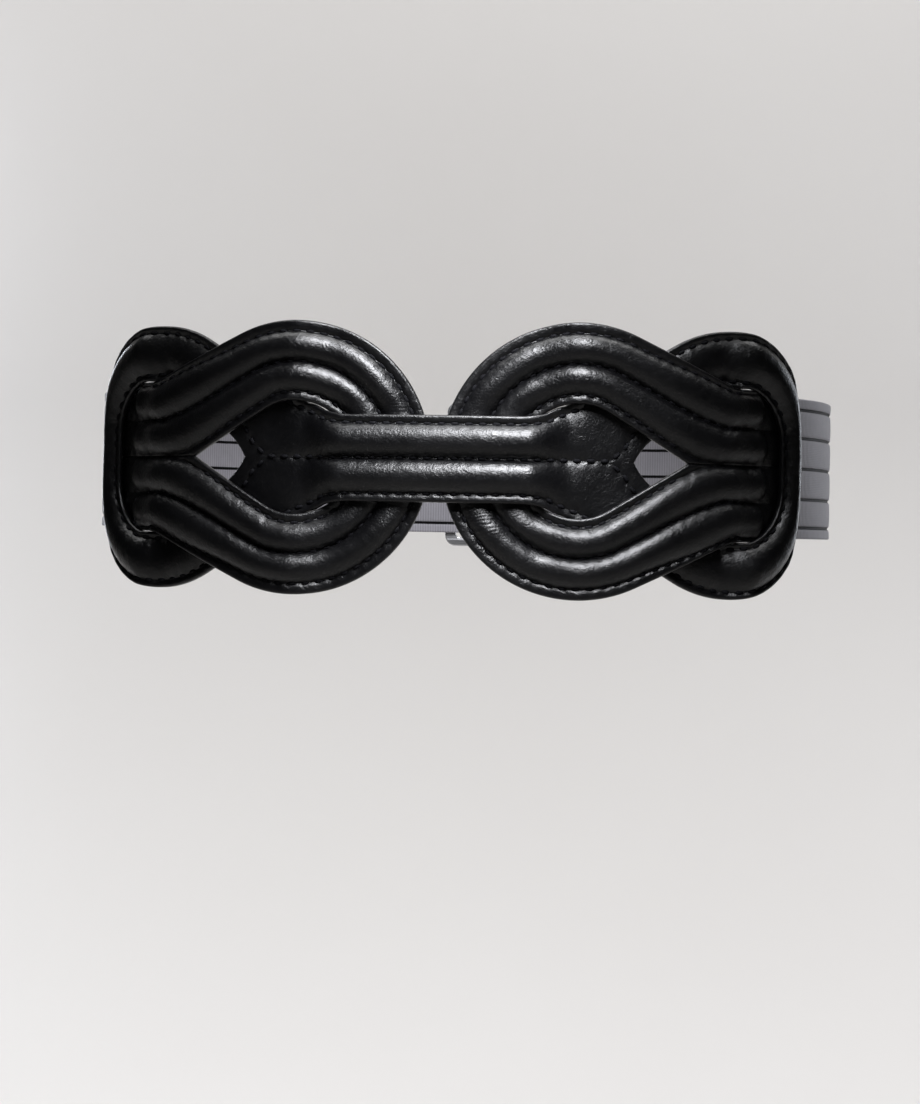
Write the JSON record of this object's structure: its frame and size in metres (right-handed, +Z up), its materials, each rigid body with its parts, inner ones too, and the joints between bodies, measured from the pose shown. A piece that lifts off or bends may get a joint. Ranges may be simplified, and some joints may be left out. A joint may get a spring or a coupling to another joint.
{
  "type": "wide belt",
  "caption": "Wide black waist belt: padded leather loops interlocked with a channelled leather link at the front, on ribbed elastic closed by a plain back clasp.",
  "frame": {"origin": "middle of the waist hollow at half the belt's height", "axes": "+Z up, the knotted front faces -Y, +X to the viewer's right"},
  "size_m": [0.2428, 0.1836, 0.0836],
  "materials": {
    "leather": "smooth black leather with a soft gloss, stitched in black",
    "elastic": "charcoal woven elastic with fine cross ribs and lengthwise grooves",
    "metal": "plain satin metal"
  },
  "bodies": {
    "root": {"centre_link": "leather", "knot_loop_left": "leather", "knot_loop_right": "leather", "elastic_band_left": "elastic", "elastic_band_right": "elastic", "back_clasp": "metal"}
  },
  "joints": []
}
